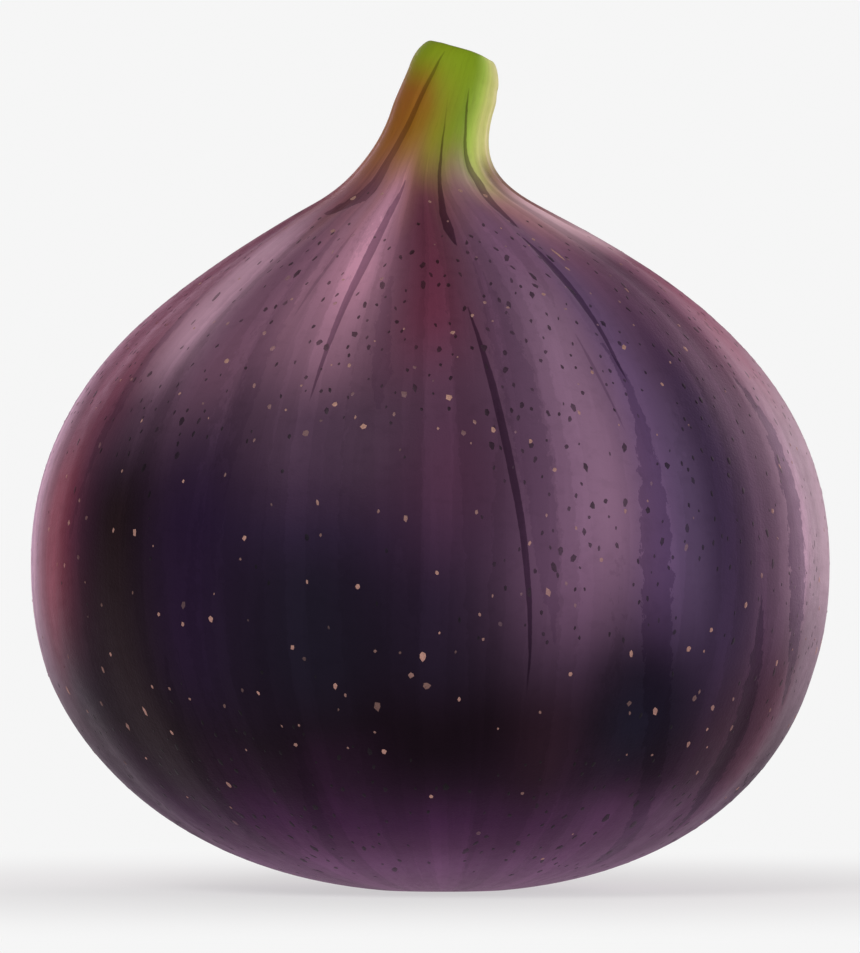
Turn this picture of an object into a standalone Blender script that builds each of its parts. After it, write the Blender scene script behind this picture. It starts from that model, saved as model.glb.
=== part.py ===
"""A fresh fig, standing on its base. Metres, +Z up, origin at the centre of the base.

Fruit, neck and stalk grew as one body, so the model is one solid: a turned outline whose
points are then moved as a fig grows, with folds that run from the stalk to the base, a neck
that leans, a stalk cut at a slant, and a small closed eye under the base.
"""

import math

import bpy
import numpy as np
from mathutils import Vector
from mathutils.geometry import interpolate_bezier

MM = 0.001

# Driving dimensions, in mm. Heights are above the base.
BODY_RADIUS = 28.0
BODY_DEPTH_SHARE = 0.97
EQUATOR_HEIGHT = 22.9
BASE_SAG = 0.2  # how far the round underside is pressed flat by the fig's own weight
BASE_ROUNDNESS = 2.2  # exponent of the superellipse below the equator; 2 is an ellipse
SHOULDER_RADIUS = 9.0
SHOULDER_HEIGHT = 47.4
SHOULDER_SLOPE = math.radians(29.7)
STALK_RADIUS = 3.6
STALK_FOOT_HEIGHT = 54.8
STALK_RIM_RADIUS = 3.1
STALK_RIM_HEIGHT = 57.0
CUT_HEIGHT = 59.0
CUT_SLANT = math.radians(16)
CUT_DROOP = 0.05  # how the cut's lower side curves down: mm for each square mm
NECK_SHIFT = -0.4
STALK_LEAN = 0.315  # sideways travel for each mm of height
BASE_SHIFT = 0.9  # the underside bulges a little to one side
EYE_RADIUS = 2.5
EYE_RIM = 0.6
EYE_DEPTH = 0.8

# One fold from stalk to base each: its azimuth on the neck, its azimuth on the body and its
# depth in mm. Azimuth is in degrees from the front, -Y, towards +X.
FOLDS = (
    (-46, -56, 0.22),
    (-32, -34, 0.16),
    (-15, -18, 0.20),
    (7, 12, 0.25),
    (40, 33, 0.25),
    (60, 57, 0.20),
    (79, 76, 0.22),
    (104, 105, 0.16),
    (131, 129, 0.22),
    (149, 152, 0.20),
    (172, 171, 0.25),
    (190, 193, 0.16),
    (213, 214, 0.22),
    (236, 233, 0.20),
    (255, 253, 0.25),
    (284, 286, 0.20),
)
FOLD_WIDTH = 6.0  # degrees

SIDES = 84
SKIN_COLOUR = (0.030, 0.011, 0.024, 1.0)


def bezier(knots, steps):
    """Points along a run of (point, handle in, handle out) knots, without the first one."""
    points = []
    for (start, _, leave), (end, arrive, _) in zip(knots, knots[1:]):
        span = interpolate_bezier(*(Vector(p) for p in (start, leave, arrive, end)), steps + 1)
        points += [(p.x, p.y) for p in span[1:]]
    return points


def underside():
    """From the equator down to where the fruit meets the surface that it stands on."""
    half_height = EQUATOR_HEIGHT + BASE_SAG
    foot = math.asin((EQUATOR_HEIGHT / half_height) ** (BASE_ROUNDNESS / 2))
    points = []
    for turn in np.linspace(0, foot, 15):
        radius = BODY_RADIUS * math.cos(turn) ** (2 / BASE_ROUNDNESS)
        drop = half_height * math.sin(turn) ** (2 / BASE_ROUNDNESS)
        points.append((radius, EQUATOR_HEIGHT - drop))
    points[-1] = (points[-1][0], 0.0)
    return points


def upper_side():
    """From the stalk's rim down over the neck and shoulder to the equator."""
    slope = Vector((math.cos(SHOULDER_SLOPE), -math.sin(SHOULDER_SLOPE)))
    rim = Vector((STALK_RIM_RADIUS, STALK_RIM_HEIGHT))
    stalk = Vector((STALK_RADIUS, STALK_FOOT_HEIGHT))
    shoulder = Vector((SHOULDER_RADIUS, SHOULDER_HEIGHT))
    equator = Vector((BODY_RADIUS, EQUATOR_HEIGHT))
    up = Vector((0, 1))
    knots = (
        (rim, rim, rim - up * 0.8),
        (stalk, stalk + up * 0.5, stalk - up * 4.9),
        (shoulder, shoulder - slope * 2.3, shoulder + slope * 8.8),
        (equator, equator + up * 13.6, equator),
    )
    return [tuple(rim)] + bezier(knots[:2], 2) + bezier(knots[1:3], 9) + bezier(knots[2:], 13)


def outline():
    """(radius, height) in mm from the middle of the cut end down to the middle of the eye."""
    cut = [
        (0, CUT_HEIGHT),
        (1.1, CUT_HEIGHT),
        (2.05, CUT_HEIGHT - 0.1),
        (2.6, CUT_HEIGHT - 0.48),
        (2.93, CUT_HEIGHT - 1.1),
    ]
    eye = [
        (EYE_RADIUS + EYE_RIM, 0),
        (EYE_RADIUS, EYE_DEPTH * 0.45),
        (EYE_RADIUS * 0.7, EYE_DEPTH * 0.9),
        (0, EYE_DEPTH),
    ]
    return cut + upper_side() + underside()[1:] + eye


def turned(name, points):
    """A closed mesh turned round Z from (radius, height) points in mm, top to bottom."""
    profile = bpy.data.meshes.new(name)
    edges = [(i, i + 1) for i in range(len(points) - 1)]
    profile.from_pydata([(r * MM, 0, z * MM) for r, z in points], edges, [])
    blank = bpy.data.objects.new(name, profile)
    bpy.context.scene.collection.objects.link(blank)
    screw = blank.modifiers.new("turn", "SCREW")
    screw.steps = screw.render_steps = SIDES
    screw.use_merge_vertices = True
    screw.merge_threshold = 0.00002
    graph = bpy.context.evaluated_depsgraph_get()
    mesh = bpy.data.meshes.new_from_object(blank.evaluated_get(graph))
    bpy.data.objects.remove(blank)
    mesh.name = name
    return mesh


def ramp(values, low, high):
    """0 below low, 1 above high, and a smooth rise between them."""
    share = np.clip((values - low) / (high - low), 0, 1)
    return share * share * (3 - 2 * share)


def fold_depth(azimuth, height):
    """How far each point sinks into the nearest folds, in mm."""
    on_body = 1 - ramp(height, 36, 50)
    depth = np.zeros_like(azimuth)
    for neck, body, deepest in FOLDS:
        centre = neck + (body - neck) * on_body
        away = (azimuth - centre + 180) % 360 - 180
        depth += deepest * np.exp(-((away / FOLD_WIDTH) ** 2))
    fade = ramp(height, 0.5, 9) * (1 - 0.6 * ramp(height, 46, 53)) * (1 - ramp(height, 53, 58))
    return depth * fade


def lumps(azimuth, height):
    """Broad unevenness of the fruit, in mm."""
    turn = np.radians(azimuth)
    swell = 0.25 * np.sin(2 * turn) + 0.2 * np.cos(3 * turn)
    return swell * ramp(height, 2, 14) * (1 - ramp(height, 38, 50))


def grow(points):
    """Moves the turned points, in mm, to where the fig's folds, lean and slanted cut put them."""
    x, y, height = points.T
    radius = np.hypot(x, y)
    azimuth = np.degrees(np.arctan2(x, -y))
    near_axis = ramp(radius, 1.5, 3.2)
    grown = radius + (lumps(azimuth, height) - fold_depth(azimuth, height)) * near_axis
    share = np.divide(grown, radius, out=np.ones_like(radius), where=radius > 0)
    x = x * share
    y = y * share * BODY_DEPTH_SHARE
    fall = math.tan(CUT_SLANT) * x + CUT_DROOP * np.maximum(x, 0) ** 2
    slanted = height - fall * ramp(height, 54.5, 58.2)
    above_neck = np.logaddexp(0, (height - 50.5) * 1.6) / 1.6
    x = x + NECK_SHIFT * ramp(height, 42, 49.5) + STALK_LEAN * above_neck
    x = x + BASE_SHIFT * np.clip(1 - height / 15, 0, 1)
    return np.column_stack((x, y, slanted))


def centred(points):
    """The same points with the box around them centred on the Z axis."""
    middle = (points.max(axis=0) + points.min(axis=0)) / 2
    return points - (middle[0], middle[1], 0)


def skin_material():
    material = bpy.data.materials.new("fig_skin")
    material.use_nodes = True
    shader = material.node_tree.nodes["Principled BSDF"]
    shader.inputs["Base Color"].default_value = SKIN_COLOUR
    shader.inputs["Roughness"].default_value = 0.42
    shader.inputs["Metallic"].default_value = 0.0
    return material


def make_fig(collection):
    mesh = turned("fig", outline())
    points = np.empty(len(mesh.vertices) * 3)
    mesh.vertices.foreach_get("co", points)
    points = centred(grow(points.reshape(-1, 3) / MM)) * MM
    mesh.vertices.foreach_set("co", points.ravel())
    mesh.update()
    mesh.shade_smooth()
    mesh.set_sharp_from_angle(angle=math.radians(50))
    mesh.materials.append(skin_material())
    fig = bpy.data.objects.new("fig", mesh)
    collection.objects.link(fig)
    return fig


def main():
    for old in list(bpy.data.objects):
        bpy.data.objects.remove(old)
    collection = bpy.data.collections.new("fresh_fig")
    bpy.context.scene.collection.children.link(collection)
    make_fig(collection)


main()
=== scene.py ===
"""The looks of the fresh fig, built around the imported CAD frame.

One dense skin mesh stands for the CAD node. It has the same outline and is moved the same
way, and it adds fine unevenness, creases, shade bands, the face of the stalk's cut end and the
scales of the closed eye under the base. The tan lenticels and the dark flecks are two more
meshes that lie on the skin.

Azimuths are in degrees from the front, -Y, towards +X. Heights are in mm above the base.
"""

import math

import bpy
import numpy as np
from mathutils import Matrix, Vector
from mathutils.geometry import interpolate_bezier


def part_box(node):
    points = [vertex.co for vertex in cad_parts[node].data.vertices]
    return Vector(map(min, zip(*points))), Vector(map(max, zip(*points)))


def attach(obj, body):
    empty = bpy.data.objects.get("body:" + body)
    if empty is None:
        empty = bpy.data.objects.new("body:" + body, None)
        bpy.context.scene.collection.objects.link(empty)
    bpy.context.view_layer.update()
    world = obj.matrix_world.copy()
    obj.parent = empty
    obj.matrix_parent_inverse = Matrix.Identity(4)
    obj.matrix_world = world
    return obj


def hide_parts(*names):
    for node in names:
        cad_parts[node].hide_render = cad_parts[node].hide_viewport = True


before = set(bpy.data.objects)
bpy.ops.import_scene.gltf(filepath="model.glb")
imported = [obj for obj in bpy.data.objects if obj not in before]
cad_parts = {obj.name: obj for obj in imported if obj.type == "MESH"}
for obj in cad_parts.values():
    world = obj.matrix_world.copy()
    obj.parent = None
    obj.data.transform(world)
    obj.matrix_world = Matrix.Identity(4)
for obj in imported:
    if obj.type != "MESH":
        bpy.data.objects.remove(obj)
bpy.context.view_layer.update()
fig_low, fig_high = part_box("fig")

CAD_WIDTH_MM = 56.0
MM = (fig_high.x - fig_low.x) / CAD_WIDTH_MM  # one millimetre of this script's lengths

# --------------------------------------------------------------------- outline

BODY_RADIUS = 28.0
BODY_DEPTH_SHARE = 0.97
EQUATOR_HEIGHT = 22.9
BASE_SAG = 0.2
BASE_ROUNDNESS = 2.2
SHOULDER_RADIUS = 9.0
SHOULDER_HEIGHT = 47.4
SHOULDER_SLOPE = math.radians(29.7)
STALK_RADIUS = 3.6
STALK_FOOT_HEIGHT = 54.8
STALK_RIM_RADIUS = 3.1
STALK_RIM_HEIGHT = 57.0
CUT_HEIGHT = 58.92
CUT_RADIUS = 2.5
CUT_SLANT = math.radians(16)
CUT_DROOP = 0.05
NECK_SHIFT = -0.4
STALK_LEAN = 0.315
BASE_SHIFT = 0.9
EYE_RADIUS = 2.5
EYE_RIM = 0.6
EYE_DEPTH = 0.75
EYE_FLAT_ROWS = 5  # rows of points on the flat ring round the eye
EYE_BOWL_ROWS = 21

SIDES = 560
SKIN_FIT = 0.9985  # keeps the relief inside the CAD node's box


def bezier(start, leave, arrive, end, steps):
    points = interpolate_bezier(*(Vector(p) for p in (start, leave, arrive, end)), steps + 1)
    return [(p.x, p.y) for p in points[1:]]


def cut_end():
    """From the middle of the cut out over its rim and round to the stalk's side."""
    face = [(r, CUT_HEIGHT) for r in np.linspace(0.0, CUT_RADIUS - 0.4, 12)]
    top = Vector((CUT_RADIUS - 0.4, CUT_HEIGHT))
    side = Vector((STALK_RIM_RADIUS, STALK_RIM_HEIGHT))
    bend = bezier(top, top + Vector((0.4, 0)), side + Vector((-0.07, 0.85)), side, 13)
    return face + bend


def upper_side():
    slope = Vector((math.cos(SHOULDER_SLOPE), -math.sin(SHOULDER_SLOPE)))
    rim = Vector((STALK_RIM_RADIUS, STALK_RIM_HEIGHT))
    stalk = Vector((STALK_RADIUS, STALK_FOOT_HEIGHT))
    shoulder = Vector((SHOULDER_RADIUS, SHOULDER_HEIGHT))
    equator = Vector((BODY_RADIUS, EQUATOR_HEIGHT))
    up = Vector((0, 1))
    points = bezier(rim, rim - Vector((-0.16, 0.8)), stalk + up * 0.5, stalk, 7)
    points += bezier(stalk, stalk - up * 4.9, shoulder - slope * 2.3, shoulder, 22)
    points += bezier(shoulder, shoulder + slope * 8.8, equator + up * 13.6, equator, 46)
    return points


def underside():
    half_height = EQUATOR_HEIGHT + BASE_SAG
    foot = math.asin((EQUATOR_HEIGHT / half_height) ** (BASE_ROUNDNESS / 2))
    points = []
    for turn in np.linspace(0, foot, 44)[1:]:
        radius = BODY_RADIUS * math.cos(turn) ** (2 / BASE_ROUNDNESS)
        drop = half_height * math.sin(turn) ** (2 / BASE_ROUNDNESS)
        points.append((radius, EQUATOR_HEIGHT - drop))
    points[-1] = (points[-1][0], 0.0)
    return points


def eye(foot_radius):
    """The flat ring that the fig stands on, then the bowl of the eye in to its middle."""
    rim = EYE_RADIUS + EYE_RIM
    flat = [(r, 0.0) for r in np.linspace(foot_radius, rim, EYE_FLAT_ROWS + 1)[1:]]
    bowl = []
    for share in np.linspace(0, 1, EYE_BOWL_ROWS + 1)[1:]:
        radius = rim * (1 - share)
        inward = np.clip(share / 0.45, 0, 1)
        bowl.append((radius, EYE_DEPTH * inward * inward * (3 - 2 * inward)))
    return flat + bowl


def outline():
    points = cut_end() + upper_side() + underside()
    points += eye(points[-1][0])
    return np.array(points)


# ---------------------------------------------------------------------- fields


def ramp(values, low, high):
    """0 at low, 1 at high, with a smooth change between. low may be above high."""
    share = np.clip((values - low) / (high - low), 0, 1)
    return share * share * (3 - 2 * share)


def away_from(azimuth, centre):
    return (azimuth - centre + 180) % 360 - 180


def wander(seed, azimuth, share, around, up):
    """Smooth noise from -1 to 1 that closes round the fig: around and up are its cell counts."""
    lattice = np.random.default_rng(seed).uniform(-1, 1, (up + 2, around))
    column = (azimuth % 360) / 360 * around
    row = np.clip(share, 0, 1) * up
    c0 = np.floor(column).astype(int)
    r0 = np.floor(row).astype(int)
    fc = ramp(column - c0, 0, 1)
    fr = ramp(row - r0, 0, 1)
    c0, c1 = c0 % around, (c0 + 1) % around
    low = lattice[r0, c0] * (1 - fc) + lattice[r0, c1] * fc
    high = lattice[r0 + 1, c0] * (1 - fc) + lattice[r0 + 1, c1] * fc
    return low * (1 - fr) + high * fr


# Broad folds, the same as the CAD's: azimuth on the neck, azimuth on the body, depth.
FOLDS = (
    (-46, -56, 0.22),
    (-32, -34, 0.16),
    (-15, -18, 0.20),
    (7, 12, 0.25),
    (40, 33, 0.25),
    (60, 57, 0.20),
    (79, 76, 0.22),
    (104, 105, 0.16),
    (131, 129, 0.22),
    (149, 152, 0.20),
    (172, 171, 0.25),
    (190, 193, 0.16),
    (213, 214, 0.22),
    (236, 233, 0.20),
    (255, 253, 0.25),
    (284, 286, 0.20),
)
FOLD_WIDTH = 6.0

# Creases, grooved and darkened with painted shade: how dark each is, and its run of
# (height, azimuth, half width) points from its top down.
FRONT_CREASES = (
    (0.72, ((58.4, -22, 0.03), (56.0, -29.5, 0.18), (54.0, -34, 0.24), (52.5, -37, 0.28),
            (51.0, -38.5, 0.34), (49.8, -37.5, 0.45), (49.0, -39, 0.7), (48.2, -42, 1.0),
            (47.7, -46, 0.8), (47.2, -53, 0.0))),
    (1.0, ((55.4, 2, 0.02), (53.2, 9, 0.05), (51.2, 12.5, 0.09), (49.2, 10.5, 0.15),
           (47.4, 8, 0.26), (46.2, 8, 0.36), (45.4, 8.5, 0.16), (44.9, 9, 0.0))),
    (0.9, ((56.6, 23, 0.02), (54.9, 27, 0.08), (53.1, 35, 0.13), (51.4, 39, 0.2),
           (49.6, 43, 0.34), (48.0, 38, 0.42), (47.0, 37, 0.3), (46.2, 36.5, 0.0))),
    (0.8, ((49.8, -14, 0.03), (47.8, -16, 0.24), (45.0, -17, 0.34), (42.0, -18, 0.28),
           (39.0, -18.5, 0.2), (36.0, -19, 0.12), (33.6, -19.5, 0.0))),
    (0.9, ((45.8, 33, 0.05), (44.6, 33.5, 0.28), (43.2, 33.5, 0.4), (41.5, 34, 0.32),
           (39.5, 34.2, 0.2), (37.0, 34, 0.13), (35.0, 34.5, 0.0))),
    (1.0, ((40.8, 7.6, 0.03), (38.6, 8.8, 0.14), (35.6, 10, 0.26), (31.0, 11.4, 0.29),
           (25.5, 13, 0.25), (20.5, 14, 0.18), (16.5, 14.4, 0.09), (13.4, 14.2, 0.0))),
    (0.45, ((39.0, 27.5, 0.03), (36.5, 28.5, 0.14), (33.5, 30, 0.1), (31.5, 31, 0.0))),
    (0.35, ((46.5, -26, 0.03), (44.5, -27, 0.16), (42.0, -28, 0.14), (39.5, -28.5, 0.0))),
)

# Broad, ragged shade bands, in the same form.
FRONT_BANDS = (
    (0.65, ((38.4, 32.5, 0.05), (36.0, 34, 0.35), (33.0, 34, 0.5), (29.0, 33.5, 0.9),
           (24.0, 33.5, 1.3), (18.0, 34, 1.2), (12.0, 37, 1.0), (9.0, 39.5, 0.9),
           (6.3, 42.5, 0.8), (3.1, 50, 0.9), (1.6, 53, 0.1))),
    (1.0, ((36.2, 62.5, 0.05), (33.0, 65, 0.7), (29.0, 65.5, 1.2), (24.0, 65.5, 1.4),
           (19.0, 66, 1.2), (14.5, 69, 0.6), (12.5, 70.5, 0.0))),
    (0.95, ((21.0, 55, 0.0), (17.0, 56, 0.7), (12.0, 57.5, 1.1), (7.5, 59, 1.0),
           (4.2, 65, 0.0))),
    (0.3, ((44.0, 12, 0.1), (40.0, 13, 0.8), (36.0, 14, 1.2), (31.0, 15, 1.2),
            (26.0, 16, 1.0), (21.0, 17, 0.5), (17.0, 18, 0.0))),
    (0.4, ((44.6, -66, 0.05), (40.0, -62, 0.4), (34.0, -61, 0.55), (28.0, -63, 0.3),
           (24.0, -65, 0.0))),
    (0.25, ((46.5, -33, 0.1), (43.0, -33, 0.6), (39.0, -32, 0.9), (34.0, -31, 0.9),
           (28.0, -33, 1.1), (20.0, -35, 1.2), (12.0, -35, 0.9), (6.0, -35, 0.6),
           (2.0, -36, 0.0))),
    (0.3, ((43.0, -9, 0.1), (40.0, -9, 0.5), (36.0, -8, 0.7), (33.0, -8, 0.0))),
    (0.4, ((17.0, -42, 0.0), (13.0, -43, 0.5), (8.0, -45, 0.7), (4.0, -47, 0.5),
           (2.2, -48, 0.0))),
    (0.35, ((12.0, -22, 0.0), (8.0, -23, 0.5), (4.0, -26, 0.5), (1.4, -30, 0.0))),
)
CREASE_REACH = 0.5  # how far outside its half width a line still marks the skin, in mm
BAND_REACH = 1.4
CREASE_DEPTH = 0.1
BAND_DEPTH = 0.02


def seeded_runs(seed, azimuths, top, bottom, widest, drift, strengths):
    """More creases or bands of the same kind for the sides and the back.

    top, bottom and strengths are ranges, widest is a half width, and drift is the most that a
    run moves sideways on its way down, in degrees.
    """
    rng = np.random.default_rng(seed)
    runs = []
    for azimuth in azimuths:
        start = rng.uniform(*top)
        end = rng.uniform(*bottom)
        width = rng.uniform(0.6, 1) * widest
        turn = azimuth + rng.uniform(-3, 3)
        slope = rng.uniform(-drift, drift)
        run = []
        for share in np.linspace(0, 1, 7):
            swell = math.sin(math.pi * share**0.8) ** 0.8
            bend = slope * share + rng.uniform(-0.5, 0.5)
            run.append((start + (end - start) * share, turn + bend, width * swell))
        runs.append((rng.uniform(*strengths), tuple(run)))
    return tuple(runs)


def line_field(runs, reach, azimuth, height, radius):
    """(signed distance from the nearest line, its half width or -1 if none, its strength)."""
    nearest = np.full(azimuth.shape, 1e3)
    distance = np.zeros_like(azimuth)
    width = np.full(azimuth.shape, -1.0)
    force = np.zeros_like(azimuth)
    for strength, run in runs:
        heights, turns, halves = (np.array(v) for v in zip(*run[::-1]))
        inside = (height >= heights[0]) & (height <= heights[-1])
        centre = np.interp(height, heights, turns)
        half = np.interp(height, heights, halves)
        gap = np.radians(away_from(azimuth, centre)) * radius
        beyond = np.abs(gap) - half
        better = inside & (beyond < reach) & (beyond < nearest)
        nearest = np.where(better, beyond, nearest)
        distance = np.where(better, gap, distance)
        width = np.where(better, half, width)
        force = np.where(better, strength, force)
    return distance, width, force


# ----------------------------------------------------------------------- paint


def linear(code):
    """Linear RGB of an sRGB hex code."""
    values = np.array([int(code[i : i + 2], 16) for i in (1, 3, 5)]) / 255
    return np.where(values <= 0.04045, values / 12.92, ((values + 0.055) / 1.055) ** 2.4)


# Skin colour up the body, before any streak, with painted light in it: paler at the base for
# painted floor light, darkest low on the belly for painted shade, and paler on the shoulders,
# partly skin colour and partly painted light from above.
BODY_COLOURS_WITH_PAINTED_LIGHT = (
    (0.0, "#795774"),
    (2.0, "#6d4a6c"),
    (3.5, "#513150"),
    (5.0, "#402142"),
    (7.5, "#29162a"),
    (11.0, "#191019"),
    (16.0, "#1c1623"),
    (22.0, "#251c2d"),
    (26.0, "#2e2338"),
    (29.0, "#392a3d"),
    (34.0, "#554051"),
    (40.0, "#705468"),
    (45.5, "#80566a"),
    (48.5, "#98645f"),
    (53.0, "#a87658"),
)

# Soft streaks of colour, laid on in this order: azimuth and half width in degrees, low and
# high end, how softly it ends, colour, strength. Some are the skin's own colour; many are
# painted light: highlights on the shoulders and right of the middle, rim light near the left
# and right edges as seen from the front, a glow of floor light along the base, and shade low
# on the belly.
STREAKS_WITH_PAINTED_LIGHT = (
    # Painted shade low on the belly.
    (17, 7, 7, 14, 3, "#32202a", 0.8),
    # Painted highlight right of the middle: a pale band with violet flanks.
    (17, 8, 17.5, 48, 6, "#755972", 0.85),
    (34.5, 6.5, 19.5, 46, 4.5, "#6c5678", 0.9),
    (24.5, 6.5, 21.5, 43, 6, "#866a80", 1.0),
    (24, 8, 43, 49, 3, "#7c5a78", 0.8),
    # The skin's own wine red down the middle.
    (0, 10.5, 36.5, 50, 4, "#673447", 1.0),
    (4, 9, 25, 36, 5, "#523448", 0.75),
    # Painted shade between the highlight and the right edge, then a bluish painted highlight.
    (46.5, 8, 13, 41, 5, "#392c45", 0.95),
    (39.5, 4, 18.5, 33, 5, "#5f506c", 0.65),
    # Mauve and reddish brown on the right side.
    (57, 6, 13, 46, 5, "#5a3e5a", 0.7),
    (67, 9, 6, 17, 4, "#60394a", 0.8),
    # Pale painted rim light near the right edge seen from the front.
    (66, 7, 18.5, 34, 5, "#9f8295", 0.95),
    (82, 9.5, 15.5, 37, 7, "#a08b96", 0.9),
    # Painted glow of floor light along the base.
    (56, 28, 1.5, 7, 2, "#664a64", 0.6),
    # Painted shade low on the right, then darker mauve high on the right.
    (54, 9, 8, 15, 4, "#3a2031", 0.8),
    (53, 10, 37, 43.5, 4, "#573552", 0.9),
    # Red painted rim light high on the right, and cream painted highlights on the right shoulder and
    # at the neck.
    (80, 14, 35, 44.5, 5, "#a35872", 0.9),
    (75, 21, 45.4, 49, 1.8, "#fad8df", 0.95),
    (36, 14, 48.6, 52, 1.5, "#b49e96", 0.8),
    # Painted highlights on the left shoulder and neck.
    (-31, 6.5, 38, 50, 4, "#a87c90", 0.85),
    (-19, 9, 36.5, 42, 4, "#a0788a", 0.9),
    (-18, 7.2, 41, 50, 3, "#cb97ac", 1.0),
    (-57, 8, 37, 47.5, 3.5, "#dbb3c6", 1.0),
    # Mauve on the left shoulder, and reddish brown at the foot of the neck.
    (-40, 6, 35, 50, 4, "#785669", 0.85),
    (-50, 12, 47, 50, 2, "#80505a", 0.7),
    # Painted shade low on the left.
    (-38, 9, 13, 30, 5, "#241730", 0.8),
    (-52, 9, 8, 30, 4, "#201518", 1.0),
    # Painted rim light near the left edge seen from the front: red bands, pale at the very edge.
    (-74, 9, 18, 33, 5, "#82303f", 1.0),
    (-70, 10, 33, 46, 4, "#6a2238", 1.0),
    (-88, 9.5, 14, 36, 6, "#bc9eac", 0.95),
    (-86, 13, 37, 48, 3.5, "#6a1434", 1.0),
    # Painted shade low on the belly.
    (-18, 10, 13, 24, 4, "#181823", 0.8),
    (0, 12, 8, 13, 3, "#0f080e", 0.95),
    (33, 9, 9.5, 15, 3.5, "#151725", 0.9),
    # Round the back, streaks of the same kinds: the pale ones high up are painted highlight and the
    # dark ones low down painted shade.
    (101, 9, 20, 44, 8, "#7b5871", 0.85),
    (112, 8, 10, 26, 5, "#3f2c49", 0.8),
    (128, 9, 33, 50, 5, "#a57488", 0.85),
    (124, 8, 14, 32, 4, "#775670", 0.7),
    (146, 10, 10, 38, 6, "#28172a", 0.85),
    (160, 8, 34, 49, 4, "#5e2c3e", 0.85),
    (177, 9, 18, 44, 5, "#836178", 0.8),
    (194, 8, 34, 49, 4, "#8a627c", 0.8),
    (206, 10, 9, 34, 6, "#20142a", 0.85),
    (222, 8, 33, 49, 5, "#a0758a", 0.85),
    (236, 8, 16, 38, 5, "#5e3e56", 0.8),
    (250, 8, 32, 47, 5, "#673540", 0.7),
)

# Colour round the stalk, by azimuth. The pale yellow-green on the right, palest from 54 to 75
# degrees, is a painted highlight; the rest is the stalk's own green and brown.
STALK_COLOURS_AND_HIGHLIGHT = (
    (-180, "#8a9030"),
    (-120, "#92842c"),
    (-75, "#946530"),
    (-48, "#925f24"),
    (-32, "#936620"),
    (-16, "#907221"),
    (0, "#90902a"),
    (16, "#869c2c"),
    (27, "#8aac36"),
    (40, "#aed454"),
    (54, "#dcf080"),
    (75, "#e4f092"),
    (110, "#a0b048"),
    (180, "#8a9030"),
)
STALK_TIP = "#86a820"
STALK_FOOT_SHADE = "#65683e"
PURPLE_TOP = 48.2
GREEN_FOOT = 53.5
CUT_PITH = "#cdc78e"
CUT_RING = "#8d8a45"
EYE_COLOUR = "#7a4d49"


def keyed(values, keys):
    """Linear RGB for each value, blended between (value, hex code) keys."""
    places = [k for k, _ in keys]
    colours = np.array([linear(code) for _, code in keys])
    return np.stack([np.interp(values, places, colours[:, i]) for i in range(3)], axis=-1)


def blend(below, above, share):
    return below + (above - below) * np.clip(share, 0, 1)[..., None]


def body_paint(azimuth, height, share):
    waver = 1.5 * wander(31, azimuth, share, 40, 10) * ramp(height, 3, 12)
    paint = keyed(height + waver, BODY_COLOURS_WITH_PAINTED_LIGHT)
    shifted = azimuth + 1.5 * wander(32, azimuth, share, 30, 8)
    sideways = ramp(np.abs(away_from(azimuth, 0)), 68, 84)
    uneven = height + 3.5 * sideways * wander(33, azimuth, share, 48, 6)
    # Lays the streaks on: skin colour, painted highlights, painted rim light and painted shade.
    for centre, half, low, high, soft, code, strength in STREAKS_WITH_PAINTED_LIGHT:
        across = np.exp(-((away_from(shifted, centre) / half) ** 2))
        up = ramp(uneven, low - soft, low + soft)
        down = ramp(uneven, high + soft, high - soft)
        paint = blend(paint, linear(code), strength * across * up * down)
    return paint


def skin_paint(azimuth, height, share):
    """Linear RGB of the skin, painted light and shade included, and the share of it that is
    green stalk.
    """
    paint = body_paint(azimuth, height, share)
    edge = 0.5 * wander(41, azimuth, share, 26, 3) + 0.2 * wander(42, azimuth, share, 70, 3)
    turned = away_from(azimuth, 0)
    edge = edge - 0.4 + 0.2 * ramp(turned, -30, 0) + 0.9 * ramp(turned, 26, 50)
    green = ramp(height + edge, PURPLE_TOP, GREEN_FOOT)
    stalk = keyed(turned, STALK_COLOURS_AND_HIGHLIGHT)
    tip = ramp(height, 53.5 + 2.0 * ramp(turned, 5, -35), 58.3)
    # The tip's green stays off the painted highlight on the right.
    tip = tip * (1 - 0.8 * ramp(turned, 18, 40) * ramp(turned, 120, 90))
    stalk = blend(stalk, linear(STALK_TIP), 0.85 * tip)
    # Painted shade on the right of the stalk's foot, below the painted highlight.
    foot = ramp(height, 51.8, 49.6) * ramp(turned, 46, 62) * ramp(turned, 130, 95)
    stalk = blend(stalk, linear(STALK_FOOT_SHADE), 0.9 * foot)
    return blend(paint, stalk, green), green


# ------------------------------------------------------------------------ skin


def crease_runs():
    return FRONT_CREASES + seeded_runs(
        seed=7,
        azimuths=(96, 113, 137, 158, 180, 201, 226, 247, 266),
        top=(44, 50),
        bottom=(24, 38),
        widest=0.32,
        drift=5,
        strengths=(0.7, 1.0),
    )


def band_runs():
    return FRONT_BANDS + seeded_runs(
        seed=8,
        azimuths=(90, 108, 126, 146, 166, 188, 209, 230, 250, 270),
        top=(30, 46),
        bottom=(3, 20),
        widest=1.2,
        drift=8,
        strengths=(0.3, 0.8),
    )


def folds(azimuth, height):
    on_body = 1 - ramp(height, 36, 50)
    depth = np.zeros_like(azimuth)
    for neck, body, deepest in FOLDS:
        centre = neck + (body - neck) * on_body
        depth += deepest * np.exp(-((away_from(azimuth, centre) / FOLD_WIDTH) ** 2))
    fade = ramp(height, 0.5, 9) * (1 - 0.6 * ramp(height, 46, 53)) * (1 - ramp(height, 53, 58))
    return depth * fade


def lumps(azimuth, height):
    turn = np.radians(azimuth)
    swell = 0.25 * np.sin(2 * turn) + 0.2 * np.cos(3 * turn)
    return swell * ramp(height, 2, 14) * (1 - ramp(height, 38, 50))


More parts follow.
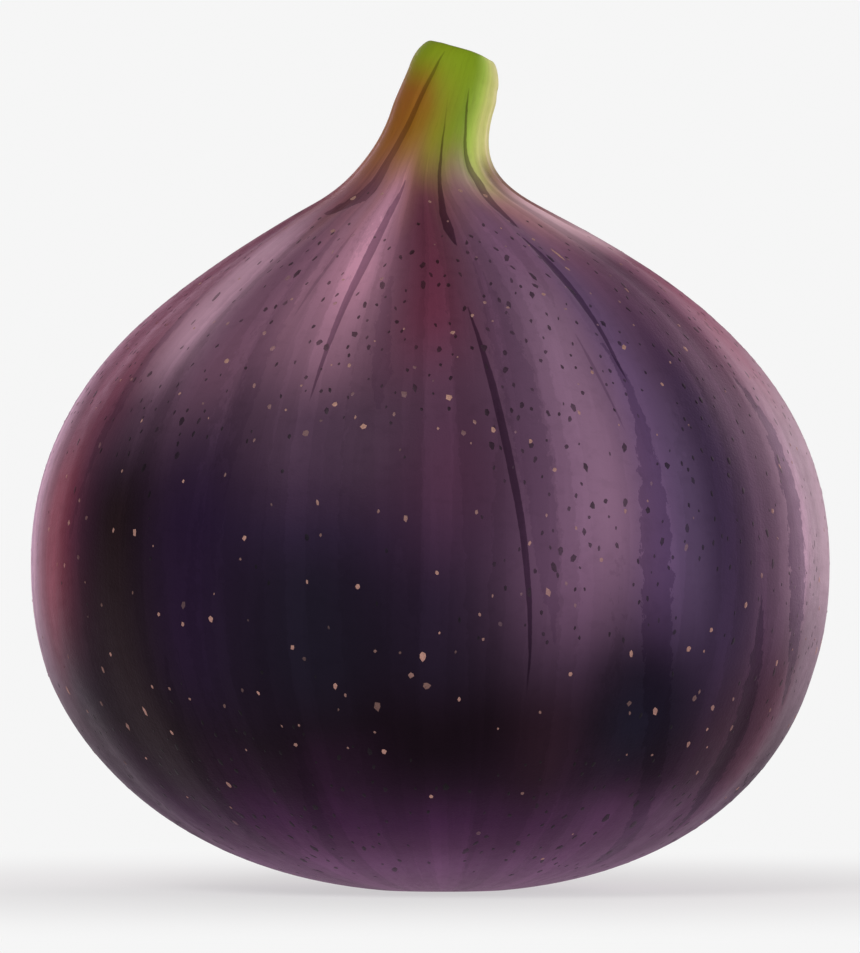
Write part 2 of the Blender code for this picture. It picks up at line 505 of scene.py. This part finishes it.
def groove(distance, width, force, deepest):
    """Depth of a groove along a line: deepest in the middle, with slightly raised lips."""
    half = np.maximum(width, 0.0) + 0.12
    near = distance / half
    dip = np.exp(-(near**2) * 1.2)
    lip = 0.25 * np.exp(-((np.abs(near) - 1.9) ** 2) * 2.2)
    present = ramp(width, 0.0, 0.12)
    return (dip - lip) * deepest * present * force


def bracts(azimuth, radius):
    """Height of the scales that close the eye, in mm towards the inside of the fig."""
    depth = np.zeros_like(radius)
    for size, start in ((2.35, 0), (1.6, 36), (0.9, 10)):
        point = np.abs(away_from((azimuth + start) * 5, 0)) / 180  # 0 on a scale's tip
        edge = size * (0.62 + 0.38 * point)
        depth += 0.13 * ramp(radius, edge + 0.16, edge - 0.16)
    return depth


def stalk_end(azimuth, radius):
    """How far the cut face stands above its plane, in mm."""
    groove_in_bark = -0.12 * np.exp(-(((radius - 1.75) / 0.2) ** 2))
    hollow = -0.3 * ramp(radius, 1.5, 0.3)
    grain = 0.05 * wander(51, azimuth, radius / 3, 18, 6) - 0.05
    return (groove_in_bark + hollow + grain) * ramp(radius, 2.4, 1.9)


class Skin:
    """The skin's grid: rows down the outline by columns round it, all in mm."""

    def __init__(self):
        points = outline()
        steps = np.hypot(*np.diff(points, axis=0).T)
        along = np.concatenate(([0.0], np.cumsum(steps)))
        slope = np.gradient(points, along, axis=0)
        normals = np.stack((-slope[:, 1], slope[:, 0]), axis=1)
        normals /= np.linalg.norm(normals, axis=1)[:, None]
        turns = np.arange(SIDES) * 360 / SIDES - 180
        self.rows = len(points)
        self.azimuth = np.broadcast_to(turns, (self.rows, SIDES)).copy()
        self.radius = np.repeat(points[:, :1], SIDES, axis=1)
        self.height = np.repeat(points[:, 1:], SIDES, axis=1)
        self.along = np.repeat(along[:, None], SIDES, axis=1)
        self.share = self.along / along[-1]
        self.row_number = np.repeat(np.arange(self.rows)[:, None], SIDES, axis=1)
        self.cut_rows = len(cut_end())
        self.eye_row = self.rows - EYE_FLAT_ROWS - EYE_BOWL_ROWS
        self.on_eye = self.row_number >= self.eye_row
        self.crease = line_field(crease_runs(), CREASE_REACH, self.azimuth, self.height, self.radius)
        self.band = line_field(band_runs(), BAND_REACH, self.azimuth, self.height, self.radius)
        self.place(normals)
        self.paint, self.green = skin_paint(self.azimuth, self.height, self.share)
        self.finish_paint()

    def rise(self):
        """How far each point stands out from the smooth outline, in mm."""
        body = ramp(self.height, 0.3, 5) * (1 - 0.75 * ramp(self.height, 46, 53))
        fine = 0.02 * wander(1, self.azimuth, self.share, 72, 6)
        fine += 0.006 * wander(2, self.azimuth, self.share, 190, 22)
        fine += 0.02 * wander(3, self.azimuth, self.share, 24, 18)
        fine += 0.004 * wander(4, self.azimuth, self.share, 280, 120)
        out = lumps(self.azimuth, self.height) - folds(self.azimuth, self.height) + fine * body
        out -= groove(*self.crease, CREASE_DEPTH)
        out -= groove(*self.band, BAND_DEPTH)
        side = (self.row_number >= self.cut_rows - 3) & ~self.on_eye
        out = np.where(side, out, 0.0)
        face = self.row_number < self.cut_rows
        out += np.where(face, stalk_end(self.azimuth, self.radius), 0.0)
        inner = self.on_eye & (self.radius < EYE_RADIUS + EYE_RIM - 0.05)
        scales = np.where(inner, bracts(self.azimuth, self.radius) - 0.2, 0.0)
        return out - scales * ramp(self.radius, 2.9, 2.4)

    def place(self, normals):
        out = self.rise()
        radius = self.radius + out * normals[:, :1]
        height = self.height + out * normals[:, 1:]
        turn = np.radians(self.azimuth)
        x = radius * np.sin(turn)
        y = -radius * np.cos(turn) * BODY_DEPTH_SHARE
        fall = math.tan(CUT_SLANT) * x + CUT_DROOP * np.maximum(x, 0) ** 2
        z = height - fall * ramp(height, 54.5, 58.2)
        above_neck = np.logaddexp(0, (height - 50.5) * 1.6) / 1.6
        x = x + NECK_SHIFT * ramp(height, 42, 49.5) + STALK_LEAN * above_neck
        x = x + BASE_SHIFT * np.clip(1 - height / 15, 0, 1)
        z = np.maximum(z, 0.0)
        points = np.stack((x, y, z), axis=-1)
        middle = (points.reshape(-1, 3).max(0) + points.reshape(-1, 3).min(0)) / 2
        self.points = (points - (middle[0], middle[1], 0)) * SKIN_FIT

    def finish_paint(self):
        """Colours the cut end and the eye."""
        face = ramp(self.radius, 2.3, 2.05) * (self.row_number < self.cut_rows)
        ring = np.exp(-(((self.radius - 1.75) / 0.3) ** 2))
        pith = blend(np.broadcast_to(linear(CUT_PITH), self.paint.shape), linear(CUT_RING), ring)
        self.paint = blend(self.paint, pith, face)
        self.face = face
        eyed = ramp(self.radius, 3.6, 1.8) * self.on_eye
        self.paint = blend(self.paint, linear(EYE_COLOUR), eyed * 0.85)
        self.eyed = eyed

    def at(self, azimuth, row):
        """Points of the grid at fractional columns and rows."""
        column = ((azimuth + 180) % 360) / 360 * SIDES
        c0 = np.floor(column).astype(int)
        fc = (column - c0)[..., None]
        r0 = np.clip(np.floor(row).astype(int), 0, self.rows - 2)
        fr = (row - r0)[..., None]
        c0, c1 = c0 % SIDES, (c0 + 1) % SIDES
        near = self.points[r0, c0] * (1 - fc) + self.points[r0, c1] * fc
        far = self.points[r0 + 1, c0] * (1 - fc) + self.points[r0 + 1, c1] * fc
        return near * (1 - fr) + far * fr


def grid_faces(rows, sides, top, bottom):
    """Quads between the rows of a grid that closes on itself, and a fan at each pole."""
    index = np.arange(rows * sides).reshape(rows, sides)
    right = np.roll(index, -1, axis=1)
    quads = np.stack((index[:-1], index[1:], right[1:], right[:-1]), axis=-1).reshape(-1, 4)
    first = [(top, int(a), int(b)) for a, b in zip(index[0], right[0])]
    last = [(bottom, int(b), int(a)) for a, b in zip(index[-1], right[-1])]
    return first + quads.tolist() + last


def add_attribute(mesh, name, kind, values):
    attribute = mesh.attributes.new(name, kind, "POINT")
    field = "color" if kind == "FLOAT_COLOR" else "vector"
    attribute.data.foreach_set(field, np.ascontiguousarray(values, dtype=np.float32).ravel())


def make_object(name, mesh, material):
    mesh.materials.append(material)
    piece = bpy.data.objects.new(name, mesh)
    bpy.context.scene.collection.objects.link(piece)
    return piece


def with_poles(grid):
    """The grid's inner rows flattened, then one value for each pole."""
    flat = grid[1:-1].reshape(-1, *grid.shape[2:])
    return np.concatenate((flat, grid[0, :1], grid[-1, :1]))


def make_skin(skin):
    rows = skin.rows - 2
    points = with_poles(skin.points) * MM
    count = rows * SIDES
    mesh = bpy.data.meshes.new("fig_skin")
    mesh.from_pydata(points, [], grid_faces(rows, SIDES, count, count + 1))
    mesh.shade_smooth()
    alpha = np.ones(skin.paint.shape[:2] + (1,))
    add_attribute(mesh, "paint", "FLOAT_COLOR", with_poles(np.concatenate((skin.paint, alpha), -1)))
    for name, field in (("crease", skin.crease), ("band", skin.band)):
        add_attribute(mesh, name, "FLOAT_VECTOR", with_poles(np.stack(field, axis=-1)))
    turn = np.radians(skin.azimuth)
    flow = np.stack((20 * np.sin(turn), -20 * np.cos(turn), skin.along), axis=-1)
    add_attribute(mesh, "flow", "FLOAT_VECTOR", with_poles(flow))
    zone = np.stack((skin.green, skin.face, skin.eyed), axis=-1)
    add_attribute(mesh, "zone", "FLOAT_VECTOR", with_poles(zone))
    add_bake_map(mesh, skin, rows)
    return make_object("fig_skin", mesh, skin_material())


def add_bake_map(mesh, skin, rows):
    """A UV map that unrolls the skin: azimuth across and distance down the outline up."""
    loops = np.empty(len(mesh.loops), dtype=int)
    mesh.loops.foreach_get("vertex_index", loops)
    starts = np.empty(len(mesh.polygons), dtype=int)
    totals = np.empty(len(mesh.polygons), dtype=int)
    mesh.polygons.foreach_get("loop_start", starts)
    mesh.polygons.foreach_get("loop_total", totals)
    column = np.concatenate((np.tile(np.arange(SIDES), rows), (0, 0)))[loops].astype(float)
    height = 1 - with_poles(skin.share)[loops]
    polygon = np.repeat(np.arange(len(totals)), totals)
    pole = loops >= rows * SIDES
    highest = np.zeros(len(totals))
    np.maximum.at(highest, polygon, np.where(pole, 0, column))
    wraps = (highest[polygon] == SIDES - 1) & (column == 0) & ~pole
    column = np.where(wraps, SIDES, column)
    lowest = np.full(len(totals), 1e9)
    np.minimum.at(lowest, polygon, np.where(pole, 1e9, column))
    column = np.where(pole, lowest[polygon] + 0.5, column)
    layer = mesh.uv_layers.new(name="OFBake")
    uv = np.stack((column / SIDES, height), axis=-1)
    layer.data.foreach_set("uv", uv.ravel().astype(np.float32))


# ---------------------------------------------------------------------- specks

# Tan lenticels that stand out: azimuth, height, size in mm, and how faded it is.
CLEAR_LENTICELS = (
    (-1, 16.8, 0.72, 0.0),
    (3, 34.2, 0.66, 0.0),
    (-10, 32.3, 0.58, 0.0),
    (-15, 33.9, 0.5, 0.0),
    (-26, 33.8, 0.56, 0.7),
    (-19, 32.0, 0.66, 0.7),
    (-4, 34.4, 0.7, 0.75),
    (-1, 7.2, 0.46, 0.0),
    (-8, 10.3, 0.5, 0.0),
    (-8, 13.4, 0.8, 0.7),
    (-14, 14.7, 0.5, 0.1),
    (-33, 19.2, 0.62, 0.1),
    (-20, 17.3, 0.46, 0.1),
    (-27, 24.8, 0.5, 0.1),
    (-10, 21.5, 0.46, 0.1),
    (9.5, 32.1, 0.54, 0.1),
    (15, 31.3, 0.42, 0.1),
    (5, 31.8, 0.56, 0.75),
    (37, 37.8, 0.54, 0.1),
    (25, 41.3, 0.46, 0.2),
    (30, 16.9, 0.54, 0.1),
    (40, 17.2, 0.52, 0.1),
    (51, 20.1, 0.52, 0.2),
    (59, 26.6, 0.54, 0.2),
    (31, 13.5, 0.56, 0.75),
    (43, 13.8, 0.56, 0.7),
)
# Slender tan scars that follow the skin down: azimuth, height, size, stretch, how faded.
SCARS = (
    (40, 44.4, 0.7, 2.9, 0.0),
    (38, 43.4, 0.4, 1.9, 0.2),
    (50, 41.8, 0.36, 1.9, 0.2),
    (-29, 44.6, 0.34, 2.1, 0.5),
    (128, 43.0, 0.5, 2.4, 0.1),
    (207, 40.2, 0.45, 2.2, 0.3),
)


SPECK_SINK = 0.02  # how far a speck's edge is sunk in the skin, in mm
LENTICEL = "#b8917f"
LENTICELS = 460
FLECKS = 2000


def speck_spots(seed, count, density, apart):
    """Seeded (azimuth, height) spots, apart mm or more from each other.

    They are kept more often where density says the skin has more of them.
    """
    rng = np.random.default_rng(seed)
    radii, heights = outline()[::-1].T
    spots = np.empty((0, 2))
    while len(spots) < count:
        spot = np.array((rng.uniform(-180, 180), rng.uniform(1.0, 49.0)))
        if rng.uniform() > density(*spot):
            continue
        radius = np.interp(spot[1], heights, radii)
        across = np.radians(away_from(spots[:, 0], spot[0])) * radius
        if np.all(np.hypot(across, spots[:, 1] - spot[1]) > apart):
            spots = np.vstack((spots, spot))
    return spots


def fleck_density(azimuth, height):
    """Share of the spots kept: most on the shoulder and near the base, fewer between them."""
    shoulder = float(ramp(height, 47.5, 43) * ramp(height, 27, 36))
    low = float(ramp(height, 14, 7) * ramp(height, 0.8, 2.2))
    right = 0.55 * float(ramp(height, 46, 40) * ramp(height, 11, 18) * ramp(azimuth, 0, 12))
    behind = 0.5 * float(abs(azimuth) > 90) * float(ramp(height, 46, 40) * ramp(height, 11, 18))
    clumps = 0.35 + 0.65 * float(wander(61, np.array(azimuth), np.array(height / 50), 16, 8) > -0.1)
    return min(1.0, max(shoulder, low, right, behind) + 0.03) * clumps


def lenticel_density(azimuth, height):
    """Share of the spots kept: more on the body, and more again in front near the neck."""
    near_neck = 0.6 * float(ramp(height, 38, 42) * ramp(abs(azimuth - 24), 26, 12))
    return 0.25 + 0.5 * float(ramp(height, 4, 16) * ramp(height, 48, 40)) + near_neck


class Specks:
    """Small many-cornered flakes that lie on the skin."""

    def __init__(self, skin, seed):
        self.skin = skin
        self.rng = np.random.default_rng(seed)
        self.points = []
        self.faces = []
        self.colours = []
        turned_side = skin.row_number[:, 0] >= skin.cut_rows
        side = turned_side & (np.arange(skin.rows) < skin.eye_row)
        self.side_rows = np.flatnonzero(side)
        self.side_heights = skin.height[side, 0]

    def add(self, azimuth, height, size, stretch, rise, colour):
        """One flake of 5 to 7 corners, longer down the skin than across it by stretch squared."""
        skin, rng = self.skin, self.rng
        row = np.interp(-height, -self.side_heights, self.side_rows)
        near = int(row)
        radius = skin.radius[near, 0]
        spacing = skin.along[near + 1, 0] - skin.along[near, 0]
        corners = rng.integers(5, 8)
        turn = np.sort(rng.uniform(0, 2 * math.pi / corners, corners)) * 0.6
        turn = turn + np.arange(corners) * 2 * math.pi / corners
        reach = size / 2 * rng.uniform(0.72, 1.1, corners)
        lean = rng.uniform(-0.35, 0.35)
        wide = reach * np.cos(turn) / stretch
        tall = reach * np.sin(turn) * stretch
        across = wide * math.cos(lean) - tall * math.sin(lean)
        down = wide * math.sin(lean) + tall * math.cos(lean)
        azimuths = azimuth + np.degrees(across / radius)
        rows = row + down / spacing
        rim = skin.at(azimuths, rows)
        shoulder = skin.at(azimuth + (azimuths - azimuth) * 0.55, row + (rows - row) * 0.55)
        middle = self.point(azimuth, row)
        normal = self.normal(azimuth, row)
        first = len(self.points)
        self.points += list(rim - normal * SPECK_SINK) + list(shoulder + normal * rise)
        self.points.append(middle + normal * rise * 1.15)
        for i in range(corners):
            j = (i + 1) % corners
            self.faces.append((first + i, first + j, first + corners + j, first + corners + i))
            self.faces.append((first + corners + i, first + corners + j, first + 2 * corners))
        self.colours += [colour] * (2 * corners + 1)

    def point(self, azimuth, row):
        return self.skin.at(np.array([azimuth]), np.array([row]))[0]

    def normal(self, azimuth, row):
        across = self.point(azimuth + 1.0, row) - self.point(azimuth - 1.0, row)
        up = self.point(azimuth, row - 0.6) - self.point(azimuth, row + 0.6)
        normal = np.cross(across, up)
        return normal / np.linalg.norm(normal)

    def paint_at(self, azimuth, height):
        share = np.interp(-height, -self.side_heights, self.skin.share[self.side_rows, 0])
        paint, _ = skin_paint(np.array([azimuth]), np.array([height]), np.array([share]))
        return paint[0]

    def build(self, name, material):
        mesh = bpy.data.meshes.new(name)
        mesh.from_pydata(np.array(self.points) * MM, [], self.faces)
        mesh.shade_smooth()
        colours = np.concatenate((np.array(self.colours), np.ones((len(self.colours), 1))), axis=1)
        add_attribute(mesh, "paint", "FLOAT_COLOR", colours)
        return make_object(name, mesh, material)


def make_lenticels(skin):
    specks = Specks(skin, 71)
    rng = np.random.default_rng(72)
    tan = linear(LENTICEL)
    for azimuth, height, size, faded in CLEAR_LENTICELS:
        colour = tan + (specks.paint_at(azimuth, height) - tan) * faded
        specks.add(azimuth, height, size, rng.uniform(1.0, 1.25), 0.035, colour)
    for azimuth, height, size, stretch, faded in SCARS:
        colour = tan + (specks.paint_at(azimuth, height) - tan) * faded
        specks.add(azimuth, height, size, stretch, 0.03, colour)
    for azimuth, height in speck_spots(73, LENTICELS, lenticel_density, 1.2):
        faded = rng.uniform(0.1, 0.9)
        size = rng.uniform(0.2, 0.46) if rng.uniform() < 0.8 else rng.uniform(0.46, 0.72)
        colour = tan + (specks.paint_at(azimuth, height) - tan) * faded
        specks.add(azimuth, height, size, rng.uniform(1.0, 1.4), 0.025, colour)
    return specks.build("fig_lenticels", speck_material("fig_lenticel", 0.62, 0.3))


def make_flecks(skin):
    specks = Specks(skin, 81)
    rng = np.random.default_rng(82)
    for azimuth, height in speck_spots(83, FLECKS, fleck_density, 0.6):
        size = rng.uniform(0.28, 0.52) if rng.uniform() < 0.82 else rng.uniform(0.52, 0.86)
        low = float(ramp(height, 11, 4))
        high = float(ramp(height, 36, 43))
        colour = specks.paint_at(azimuth, height) * rng.uniform(0.28, 0.5)
        stretch = rng.uniform(1.1, 1.5) * (1 + 0.1 * low + 0.25 * high)
        specks.add(azimuth, height, size * (1 + 0.4 * low + 0.2 * high), stretch, 0.012, colour)
    return specks.build("fig_flecks", speck_material("fig_fleck", 0.5, 0.15))


# ------------------------------------------------------------------- materials


class Nodes:
    """Short hand for building a node tree."""

    def __init__(self, name):
        self.material = bpy.data.materials.new(name)
        self.material.use_nodes = True
        self.tree = self.material.node_tree
        self.shader = self.tree.nodes["Principled BSDF"]

    def node(self, kind, **settings):
        made = self.tree.nodes.new(kind)
        for key, value in settings.items():
            setattr(made, key, value)
        return made

    def put(self, socket, value):
        if isinstance(value, bpy.types.NodeSocket):
            self.tree.links.new(value, socket)
        else:
            socket.default_value = value

    def attribute(self, name, output="Vector"):
        return self.node("ShaderNodeAttribute", attribute_name=name).outputs[output]

    def split(self, vector):
        made = self.node("ShaderNodeSeparateXYZ")
        self.put(made.inputs[0], vector)
        return made.outputs

    def math(self, operation, *values, clamp=False):
        made = self.node("ShaderNodeMath", operation=operation, use_clamp=clamp)
        for socket, value in zip(made.inputs, values):
            self.put(socket, value)
        return made.outputs[0]

    def scaled(self, vector, scale):
        made = self.node("ShaderNodeVectorMath", operation="MULTIPLY")
        self.put(made.inputs[0], vector)
        made.inputs[1].default_value = scale
        return made.outputs[0]

    def noise(self, vector, scale, detail=2.0, roughness=0.5):
        made = self.node("ShaderNodeTexNoise")
        self.put(made.inputs["Vector"], vector)
        made.inputs["Scale"].default_value = scale
        made.inputs["Detail"].default_value = detail
        made.inputs["Roughness"].default_value = roughness
        return made.outputs["Fac"]

    def range(self, value, low, high, to_low=0.0, to_high=1.0):
        made = self.node("ShaderNodeMapRange", interpolation_type="SMOOTHSTEP")
        for socket, number in zip(made.inputs, (value, low, high, to_low, to_high)):
            self.put(socket, number)
        return made.outputs[0]

    def mix(self, below, above, share, kind="MIX"):
        made = self.node("ShaderNodeMix", data_type="RGBA", blend_type=kind)
        self.put(made.inputs[0], share)
        self.put(made.inputs[6], below)
        self.put(made.inputs[7], above)
        return made.outputs[2]

    def bump(self, height, distance, strength, below=None):
        made = self.node("ShaderNodeBump")
        made.inputs["Distance"].default_value = distance
        made.inputs["Strength"].default_value = strength
        self.put(made.inputs["Height"], height)
        if below is not None:
            self.put(made.inputs["Normal"], below)
        return made.outputs[0]


def grey(value):
    return (value, value, value, 1.0)


WIDE_LINE = 0.4  # half width above which a line's edges grow more ragged, in mm
BAND_SHADE = (0.50, 0.45, 0.56, 1.0)
CREASE_SHADE = (0.40, 0.35, 0.42, 1.0)

# Faint facets that run down the skin: noise scale, offset, raggedness, brightness.
FACETS = (
    (0.13, 10.0, 0.11, 0.86),
    (0.2, 50.0, 0.11, 1.15),
    (0.3, 90.0, 0.10, 0.9),
    (0.5, 130.0, 0.09, 1.06),
)


def line_mask(n, name, uneven, jag, wide_jag, soft):
    """1 on a line of the named field, 0 off it, with edges that uneven moves in and out.

    Edges move by jag where the line is thin, and by wide_jag more for each mm that its half
    width has over WIDE_LINE.
    """
    distance, width, force = n.split(n.attribute(name))
    over = n.math("MAXIMUM", n.math("SUBTRACT", width, WIDE_LINE), 0.0)
    reach = n.math("ADD", n.math("MULTIPLY", over, wide_jag), jag)
    moved = n.math("ADD", width, n.math("MULTIPLY", uneven, reach))
    edge = n.math("SUBTRACT", moved, n.math("ABSOLUTE", distance))
    present = n.range(width, 0.0, 0.08)
    return n.math("MULTIPLY", n.range(edge, -soft, soft), n.math("MULTIPLY", present, force))


def skin_material():
    n = Nodes("fig_skin")
    flow = n.attribute("flow")
    green, face, eyed = n.split(n.attribute("zone"))
    ragged = n.noise(n.scaled(flow, (1.0, 1.0, 0.42)), 2.0, 4.0, 0.72)
    uneven = n.math("SUBTRACT", ragged, 0.5)

    off_stalk = n.range(green, 0.2, 1.0, 1.0, 0.2)
    colour = n.attribute("paint", "Color")
    for scale, offset, raggedness, brightness in FACETS:
        moved = n.node("ShaderNodeVectorMath", operation="ADD")
        n.put(moved.inputs[0], n.scaled(flow, (1.0, 1.0, 0.045)))
        moved.inputs[1].default_value = (offset, offset, offset)
        facet = n.noise(moved.outputs[0], scale, 1.0)
        facet = n.math("ADD", facet, n.math("MULTIPLY", uneven, raggedness))
        mask = n.math("MULTIPLY", n.range(facet, 0.52, 0.53), off_stalk)
        colour = n.mix(colour, grey(brightness), mask, "MULTIPLY")
    fibre = n.noise(n.scaled(flow, (1.0, 1.0, 0.08)), 3.2, 3.0)
    colour = n.mix(colour, grey(1.05), n.range(fibre, 0.5, 0.75), "MULTIPLY")
    mottle = n.noise(flow, 1.1, 4.0, 0.6)
    colour = n.mix(colour, grey(0.93), n.range(mottle, 0.48, 0.7), "MULTIPLY")

    # Painted shade along the bands and in the creases.
    band = line_mask(n, "band", uneven, 1.2, 1.2, 0.05)
    colour = n.mix(colour, BAND_SHADE, band, "MULTIPLY")
    crease = line_mask(n, "crease", uneven, 0.12, 1.4, 0.035)
    colour = n.mix(colour, CREASE_SHADE, crease, "MULTIPLY")
    n.put(n.shader.inputs["Base Color"], colour)

    rough = n.range(mottle, 0.3, 0.7, 0.38, 0.44)
    rough = n.math("ADD", rough, n.math("MULTIPLY", green, 0.06))
    rough = n.math("ADD", rough, n.math("MULTIPLY", n.math("MAXIMUM", face, eyed), 0.25))
    rough = n.math("ADD", rough, n.math("MULTIPLY", crease, 0.15))
    n.put(n.shader.inputs["Roughness"], rough)
    n.shader.inputs["Specular IOR Level"].default_value = 0.05
    n.shader.inputs["Specular Tint"].default_value = (1.0, 0.7, 0.86, 1.0)
    n.shader.inputs["Sheen Weight"].default_value = 0.03
    n.shader.inputs["Sheen Roughness"].default_value = 0.35
    n.shader.inputs["Sheen Tint"].default_value = (0.9, 0.6, 0.76, 1.0)

    pores = n.noise(flow, 6.0, 2.0, 0.6)
    normal = n.bump(pores, 0.00005, 0.35)
    normal = n.bump(fibre, 0.00004, 0.25, normal)
    n.put(n.shader.inputs["Normal"], normal)
    return n.material


def speck_material(name, roughness, gloss):
    n = Nodes(name)
    place = n.node("ShaderNodeTexCoord").outputs["Object"]
    grain = n.noise(place, 9000.0, 3.0, 0.6)
    colour = n.mix(n.attribute("paint", "Color"), grey(0.72), n.range(grain, 0.4, 0.7), "MULTIPLY")
    n.put(n.shader.inputs["Base Color"], colour)
    n.put(n.shader.inputs["Roughness"], n.range(grain, 0.3, 0.7, roughness - 0.08, roughness + 0.08))
    n.shader.inputs["Specular IOR Level"].default_value = gloss
    n.put(n.shader.inputs["Normal"], n.bump(grain, 0.00003, 0.5))
    return n.material


# ----------------------------------------------------------------------- stage

BACKDROP = (0.92, 0.92, 0.92)
ROOM_COLOUR = (1.0, 0.84, 0.91)
ROOM_FRONT = 0.03  # brightness of the room in front of the fig
ROOM_BACK = 0.5
FLOOR_BOUNCE = (0.88, 0.74, 0.84)
FLOOR_RADIUS = 1.2
FLOOR_SIDES = 96
FLOOR_DROP = 0.00002  # keeps the floor just under the fig's flat ring
CAMERA_LENS = 400.0
FRAME_HEIGHT_MM = 66.7
CAMERA_HEIGHT_MM = 28.9
SENSOR_MM = 36.0


def make_world():
    """The backdrop that the camera sees, and a dim room, brighter behind, that lights the fig."""
    world = bpy.data.worlds.new("studio")
    bpy.context.scene.world = world
    world.use_nodes = True
    tree = world.node_tree
    tree.nodes.clear()
    output = tree.nodes.new("ShaderNodeOutputWorld")
    seen = tree.nodes.new("ShaderNodeBackground")
    seen.inputs[0].default_value = (*BACKDROP, 1)
    room = tree.nodes.new("ShaderNodeBackground")
    place = tree.nodes.new("ShaderNodeTexCoord")
    split = tree.nodes.new("ShaderNodeSeparateXYZ")
    tree.links.new(place.outputs["Generated"], split.inputs[0])
    depth = tree.nodes.new("ShaderNodeMapRange")
    depth.inputs[1].default_value = 0.2
    depth.inputs[2].default_value = 1.0
    depth.inputs[3].default_value = ROOM_FRONT
    depth.inputs[4].default_value = ROOM_BACK
    tree.links.new(split.outputs[1], depth.inputs[0])
    room.inputs[0].default_value = (*ROOM_COLOUR, 1)
    tree.links.new(depth.outputs[0], room.inputs[1])
    path = tree.nodes.new("ShaderNodeLightPath")
    choose = tree.nodes.new("ShaderNodeMixShader")
    tree.links.new(path.outputs["Is Camera Ray"], choose.inputs[0])
    tree.links.new(room.outputs[0], choose.inputs[1])
    tree.links.new(seen.outputs[0], choose.inputs[2])
    tree.links.new(choose.outputs[0], output.inputs[0])


def make_floor():
    """A pale disc that turns into the backdrop's colour away from the fig."""
    mesh = bpy.data.meshes.new("floor")
    ring = [
        (FLOOR_RADIUS * math.cos(a), FLOOR_RADIUS * math.sin(a), 0.0)
        for a in np.linspace(0, 2 * math.pi, FLOOR_SIDES, endpoint=False)
    ]
    mesh.from_pydata(ring, [], [tuple(range(FLOOR_SIDES))])
    n = Nodes("floor")
    n.shader.inputs["Base Color"].default_value = (0.86, 0.86, 0.86, 1)
    n.shader.inputs["Roughness"].default_value = 0.9
    n.shader.inputs["Specular IOR Level"].default_value = 0.0
    place = n.node("ShaderNodeTexCoord").outputs["Object"]
    far = n.node("ShaderNodeVectorMath", operation="LENGTH")
    n.put(far.inputs[0], place)
    glow = n.node("ShaderNodeEmission")
    seen = n.node("ShaderNodeLightPath").outputs["Is Camera Ray"]
    n.put(glow.inputs[0], n.mix((*FLOOR_BOUNCE, 1), (*BACKDROP, 1), seen))
    mixed = n.node("ShaderNodeMixShader")
    n.put(mixed.inputs[0], n.range(far.outputs["Value"], 0.0, 0.085, 0.6, 1.0))
    n.put(mixed.inputs[1], n.shader.outputs[0])
    n.put(mixed.inputs[2], glow.outputs[0])
    n.put(n.tree.nodes["Material Output"].inputs[0], mixed.outputs[0])
    floor = make_object("floor", mesh, n.material)
    floor.location.z = fig_low.z - FLOOR_DROP


def make_light(name, azimuth, elevation, distance, width, height, radiance, colour):
    """A soft box that faces the fig. Its power follows from its size and radiance.

    Elevation is in degrees, and distance, width and height are in metres.
    """
    data = bpy.data.lights.new(name, "AREA")
    data.shape = "RECTANGLE"
    data.size = width
    data.size_y = height
    data.energy = radiance * math.pi * width * height
    data.color = colour
    light = bpy.data.objects.new(name, data)
    a, e = math.radians(azimuth), math.radians(elevation)
    back = Vector((math.sin(a) * math.cos(e), -math.cos(a) * math.cos(e), math.sin(e)))
    middle = (fig_low + fig_high) / 2
    light.location = middle + back * distance
    light.rotation_mode = "QUATERNION"
    light.rotation_quaternion = back.to_track_quat("Z", "Y")
    bpy.context.scene.collection.objects.link(light)


def make_lights():
    make_light("key", -30, 38, 0.6, 0.34, 0.26, 6.7, (1.0, 0.95, 0.97))
    make_light("right_strip", 54, 16, 0.5, 0.10, 0.30, 6.0, (1.0, 0.92, 0.98))
    make_light("left_rim", -158, 4, 0.5, 0.16, 0.4, 2.1, (1.0, 0.6, 0.84))
    make_light("right_rim", 138, 6, 0.5, 0.34, 0.4, 3.8, (1.0, 0.73, 0.83))


def make_camera():
    data = bpy.data.cameras.new("camera")
    data.lens = CAMERA_LENS
    data.sensor_width = SENSOR_MM
    data.clip_start = 0.01
    data.clip_end = 10.0
    camera = bpy.data.objects.new("camera", data)
    distance = CAMERA_LENS / SENSOR_MM * FRAME_HEIGHT_MM * MM
    camera.location = (0, -distance, CAMERA_HEIGHT_MM * MM)
    camera.rotation_euler = (math.pi / 2, 0, 0)
    bpy.context.scene.collection.objects.link(camera)
    bpy.context.scene.camera = camera


def main():
    skin = Skin()
    piece = make_skin(skin)
    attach(piece, "root")
    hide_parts("fig")
    for extra in (make_lenticels(skin), make_flecks(skin)):
        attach(extra, "root")
    make_world()
    make_floor()
    make_lights()
    make_camera()
    bpy.context.scene.view_settings.view_transform = "Standard"


main()
